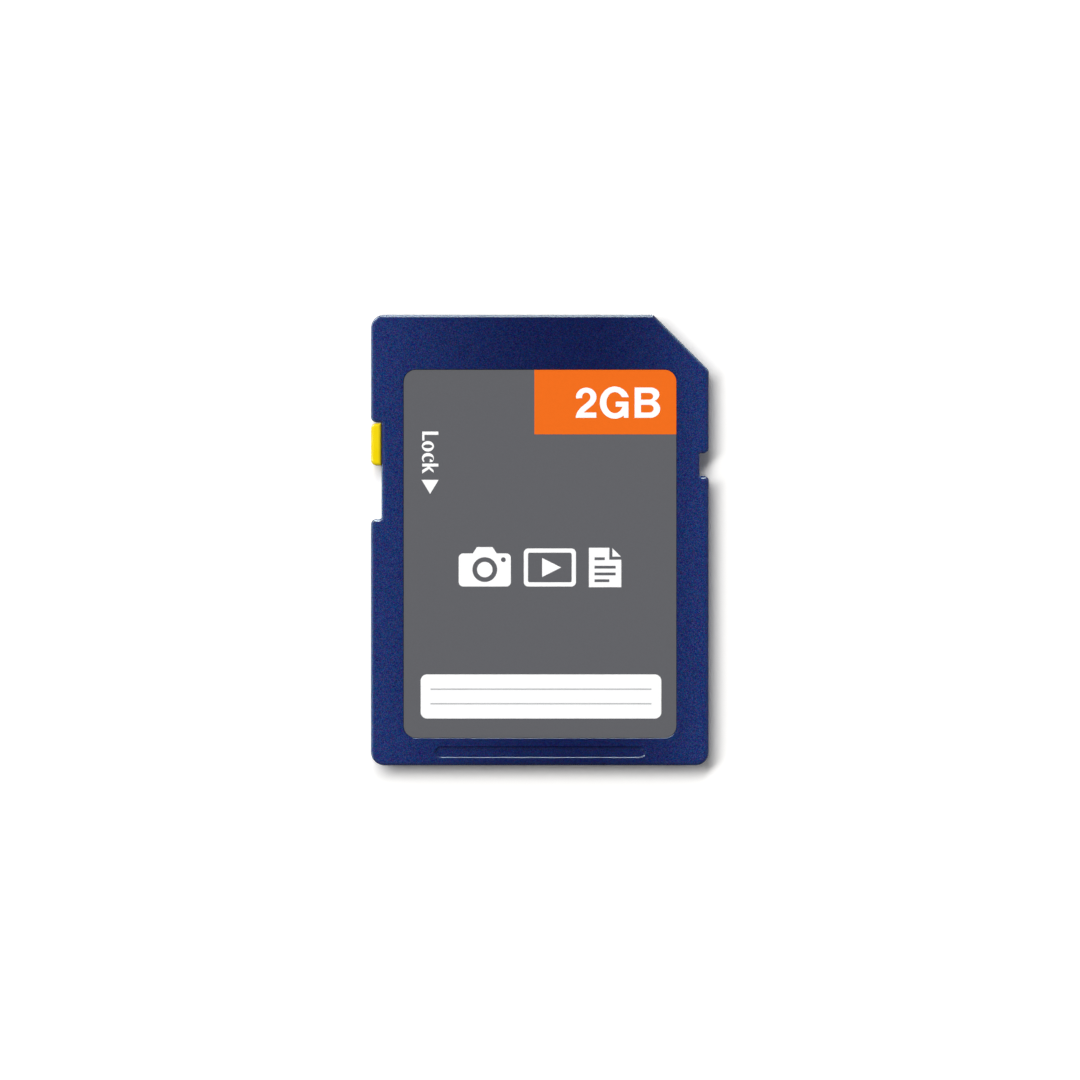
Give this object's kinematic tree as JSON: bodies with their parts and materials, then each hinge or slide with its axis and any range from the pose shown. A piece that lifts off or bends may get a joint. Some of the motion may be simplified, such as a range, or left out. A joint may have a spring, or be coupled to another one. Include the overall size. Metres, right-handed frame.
{
  "type": "memory card",
  "caption": "Flat plastic memory card with a cut corner, a side lock slider, a framed front label, a nail groove and recessed contacts in ribbed windows on the back.",
  "frame": {"origin": "middle of the card's outline, on the back face that carries the contact windows", "axes": "+Z out of the label face; +Y towards the contact end; +X towards the side with the retention notch and the cut corner"},
  "size_m": [0.024, 0.032, 0.0021],
  "materials": {
    "shell_plastic": "fine spark-eroded grain, dark blue",
    "slider_plastic": "smooth moulded, yellow",
    "label_film": "flat printed film, grey",
    "board_laminate": "satin solder mask, green",
    "contact_gold": "gold plate",
    "chip_moulding": "moulding compound, black",
    "tinned_lead": "tin plate",
    "capacitor_ceramic": "fired ceramic, tan",
    "resistor_ceramic": "glazed top, black"
  },
  "bodies": {
    "card": {"front_shell": "shell_plastic", "back_shell": "shell_plastic", "front_label": "label_film", "circuit_board": "board_laminate", "contact_pad_1": "contact_gold", "contact_pad_2": "contact_gold", "contact_pad_3": "contact_gold", "contact_pad_4": "contact_gold", "contact_pad_5": "contact_gold", "contact_pad_6": "contact_gold", "contact_pad_7": "contact_gold", "contact_pad_8": "contact_gold", "contact_pad_9": "contact_gold", "flash_chip": "chip_moulding", "flash_leads": "tinned_lead", "controller_chip": "chip_moulding", "controller_terminals": "tinned_lead", "capacitor_1": "capacitor_ceramic", "capacitor_2": "capacitor_ceramic", "capacitor_3": "capacitor_ceramic", "capacitor_4": "capacitor_ceramic", "resistor_1": "resistor_ceramic", "resistor_2": "resistor_ceramic", "resistor_3": "resistor_ceramic", "resistor_4": "resistor_ceramic"},
    "slider": {"lock_slider": "slider_plastic"}
  },
  "joints": [
    {"name": "lock_slide", "type": "slide", "parent": "card", "child": "slider", "axis": [0, -1, 0], "range_m": [0, 0.00376]}
  ]
}
